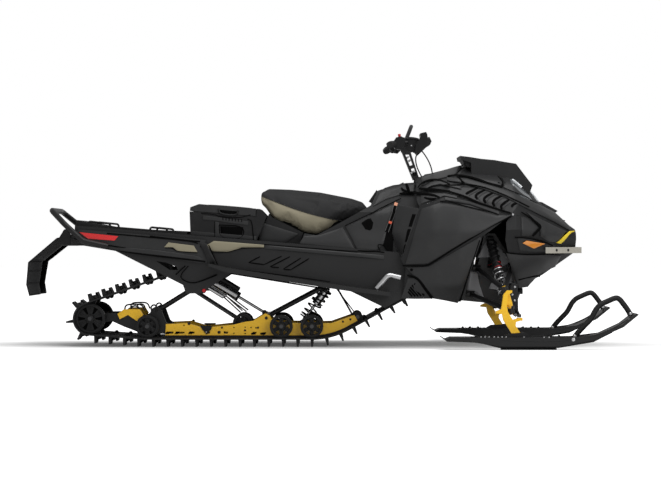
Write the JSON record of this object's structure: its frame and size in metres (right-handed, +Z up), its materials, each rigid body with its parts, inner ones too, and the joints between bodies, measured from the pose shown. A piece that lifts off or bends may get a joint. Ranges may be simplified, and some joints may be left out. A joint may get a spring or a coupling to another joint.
{
  "type": "snowmobile",
  "caption": "Long-track utility snowmobile with a steered pair of skis, a suspended rubber track, a padded seat, a lidded cargo box and a rear rack.",
  "frame": {"origin": "on the floor under the middle of the machine's box", "axes": "+X to the front, +Y to the left side, +Z up"},
  "size_m": [3.1841, 1.242, 1.1875],
  "materials": {
    "belt_rubber": "ribbed, matte",
    "wheel_plastic": "satin",
    "axle_steel": "turned",
    "yellow_paint": "powder coat",
    "shoe_plastic": "worn smooth",
    "black_paint": "powder coat",
    "shock_metal": "satin anodised",
    "webbing": "woven",
    "tunnel_paint": "satin",
    "silver_tube": "satin",
    "charcoal_plastic": "fine grain",
    "black_plastic": "fine grain",
    "red_lens": "clear-cut lens",
    "orange_lens": "clear-cut lens",
    "flap_rubber": "satin",
    "seat_vinyl": "grained vinyl",
    "lamp_glass": "clear",
    "yellow_plastic": "smooth",
    "frame_paint": "satin grey",
    "engine_metal": "as cast",
    "grip_rubber": "ribbed",
    "display_plastic": "smooth",
    "cable_rubber": "smooth",
    "ski_plastic": "smooth",
    "bumper_metal": "satin khaki"
  },
  "bodies": {
    "chassis": {"track": "belt_rubber", "rail_wheels": "wheel_plastic", "idler_wheels": "wheel_plastic", "skid_axles": "axle_steel", "slide_rails": "yellow_paint", "slide_shoes": "shoe_plastic", "axle_links": "black_paint", "suspension_arms": "black_paint", "skid_shocks": "shock_metal", "limiter_straps": "webbing", "tunnel": "tunnel_paint", "drive_axle": "wheel_plastic", "running_boards": "tunnel_paint", "toe_bars": "silver_tube", "tail_panels": "charcoal_plastic", "tail_lamps": "red_lens", "cargo_rack": "black_plastic", "rear_grab_rail": "black_paint", "snow_flap": "flap_rubber", "hitch": "black_paint", "cargo_box": "black_plastic", "seat": "seat_vinyl", "seat_base": "black_plastic", "tank_cover": "black_plastic", "hood": "charcoal_plastic", "headlights": "lamp_glass", "side_panel_right": "charcoal_plastic", "side_panel_left": "charcoal_plastic", "nose_accents": "yellow_plastic", "side_reflectors": "orange_lens", "nose": "charcoal_plastic", "belly_pan": "black_plastic", "windshield": "black_plastic", "front_frame": "frame_paint", "engine": "engine_metal", "control_cables": "cable_rubber", "wishbones": "black_paint", "front_shocks": "shock_metal", "front_bumper": "bumper_metal"},
    "steering": {"steering_post": "black_paint", "handlebar": "black_paint", "grips": "grip_rubber", "display": "display_plastic", "grab_strap": "webbing"},
    "lid": {"box_lid": "charcoal_plastic"},
    "spindle_right_body": {"spindle_right": "yellow_paint"},
    "spindle_left_body": {"spindle_left": "yellow_paint"},
    "tie_rod_right_body": {"tie_rod_right": "axle_steel"},
    "tie_rod_left_body": {"tie_rod_left": "axle_steel"},
    "ski_right_body": {"ski_right": "ski_plastic", "ski_loop_right": "ski_plastic", "ski_runner_right": "axle_steel"},
    "ski_left_body": {"ski_left": "ski_plastic", "ski_loop_left": "ski_plastic", "ski_runner_left": "axle_steel"}
  },
  "joints": [
    {"name": "steering_turn", "type": "hinge", "parent": "chassis", "child": "steering", "pos_m": [0.48919, 0, 0.88888], "axis": [-0.4148, 0, 0.9099], "range_deg": [-38, 38], "deforming": ["control_cables"]},
    {"name": "lid_open", "type": "hinge", "parent": "chassis", "child": "lid", "pos_m": [-0.72531, 0.2213, 0.71955], "axis": [-0.9968, 0, 0.0803], "range_deg": [0, 105]},
    {"name": "spindle_right_turn", "type": "hinge", "parent": "chassis", "child": "spindle_right_body", "pos_m": [0.95007, -0.491, 0.19467], "axis": [-0.2631, 0, 0.9648], "range_deg": [-33, 33]},
    {"name": "tie_rod_right_slide", "type": "slide", "parent": "chassis", "child": "tie_rod_right_body", "axis": [0, 1, 0], "range_m": [-0.0168, 0.0168]},
    {"name": "ski_right_pitch", "type": "hinge", "parent": "spindle_right_body", "child": "ski_right_body", "pos_m": [0.984, -0.535, 0.06613], "axis": [0, 1, 0], "range_deg": [-15, 15]},
    {"name": "spindle_left_turn", "type": "hinge", "parent": "chassis", "child": "spindle_left_body", "pos_m": [0.95007, 0.491, 0.19467], "axis": [-0.2631, 0, 0.9648], "range_deg": [-33, 33]},
    {"name": "tie_rod_left_slide", "type": "slide", "parent": "chassis", "child": "tie_rod_left_body", "axis": [0, 1, 0], "range_m": [-0.0168, 0.0168]},
    {"name": "ski_left_pitch", "type": "hinge", "parent": "spindle_left_body", "child": "ski_left_body", "pos_m": [0.984, 0.535, 0.06613], "axis": [0, 1, 0], "range_deg": [-15, 15]}
  ],
  "couplings": [
    {"joint": "spindle_right_turn", "follows": "steering_turn", "ratio": 0.85},
    {"joint": "tie_rod_right_slide", "follows": "steering_turn", "m_per_rad": 0.0252},
    {"joint": "spindle_left_turn", "follows": "steering_turn", "ratio": 0.85},
    {"joint": "tie_rod_left_slide", "follows": "steering_turn", "m_per_rad": 0.0252}
  ]
}
